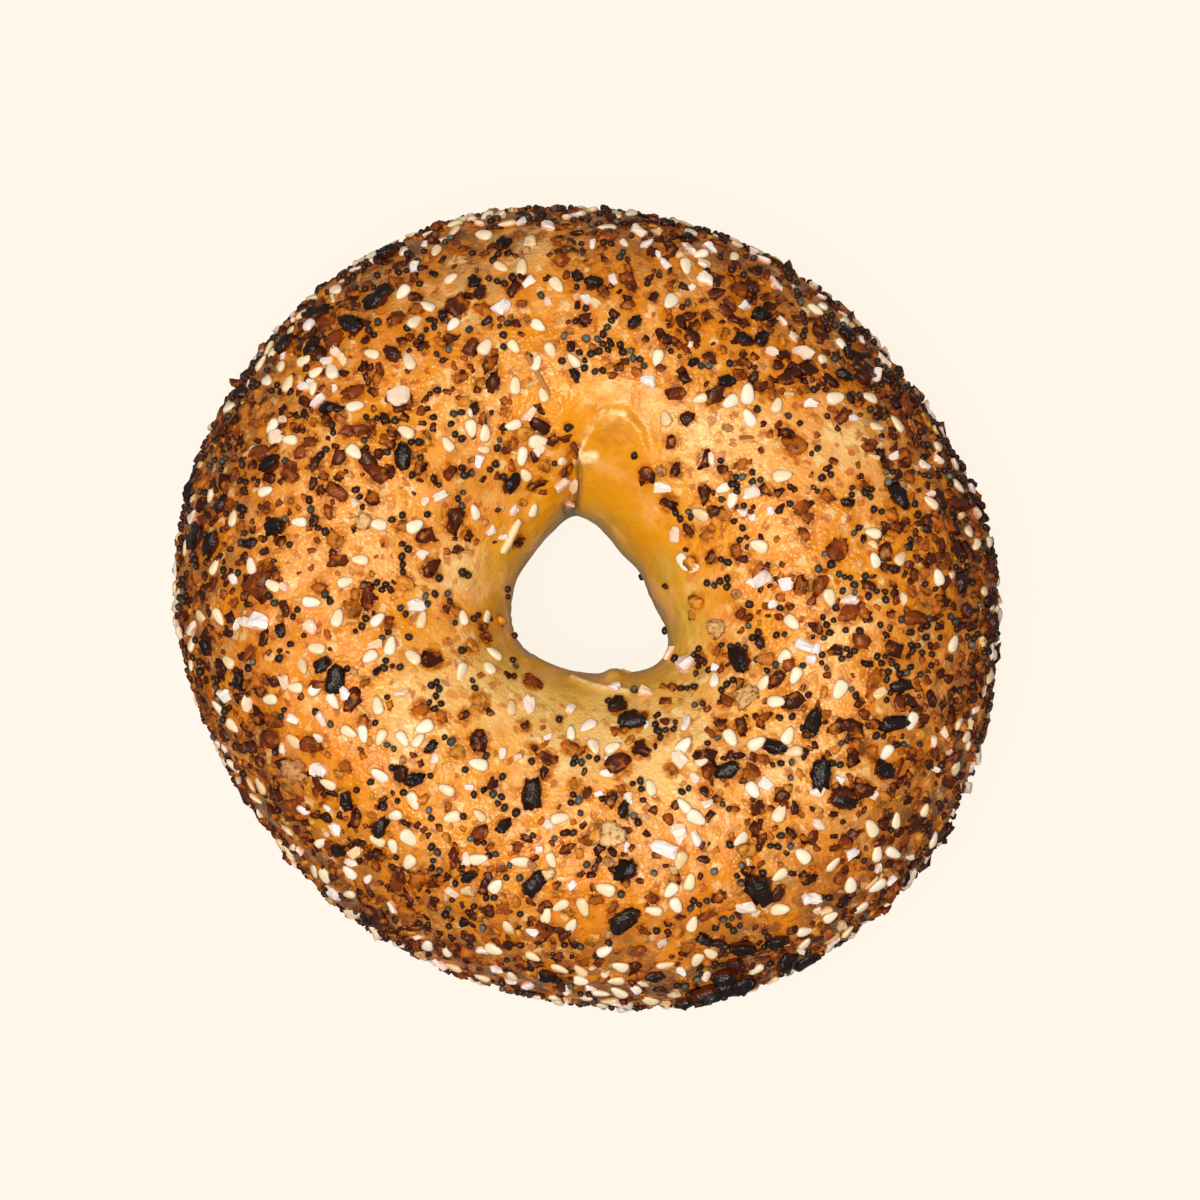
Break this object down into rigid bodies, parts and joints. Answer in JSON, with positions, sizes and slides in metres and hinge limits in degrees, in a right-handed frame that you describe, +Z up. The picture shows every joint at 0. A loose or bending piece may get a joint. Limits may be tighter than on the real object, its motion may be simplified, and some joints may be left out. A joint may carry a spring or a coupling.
{
  "type": "bagel",
  "caption": "Seeded ring-shaped bread roll: one closed hand-rolled ring with a domed top, a rounded three-cornered hole and a flat base to lie on.",
  "frame": {"origin": "middle of the base, on the surface that the bagel lies on", "axes": "+Z up through the hole, +Y to the hole's corner with the dough seam"},
  "size_m": [0.1198, 0.1172, 0.0428],
  "materials": {
    "crust": "baked golden-brown crust, satin, mottled from pale gold by the hole to brown at the sides",
    "poppy_seed": "blue-black seed skin, satin",
    "sesame_seed": "hulled cream seed, slightly oily",
    "coarse_salt": "cloudy white crystal, satin",
    "dried_onion": "toasted flake, amber to dark brown",
    "burnt_onion": "charred and wrinkled, satin highlights",
    "dried_garlic": "toasted granule, golden"
  },
  "bodies": {
    "root": {"bagel": "crust"}
  },
  "joints": []
}
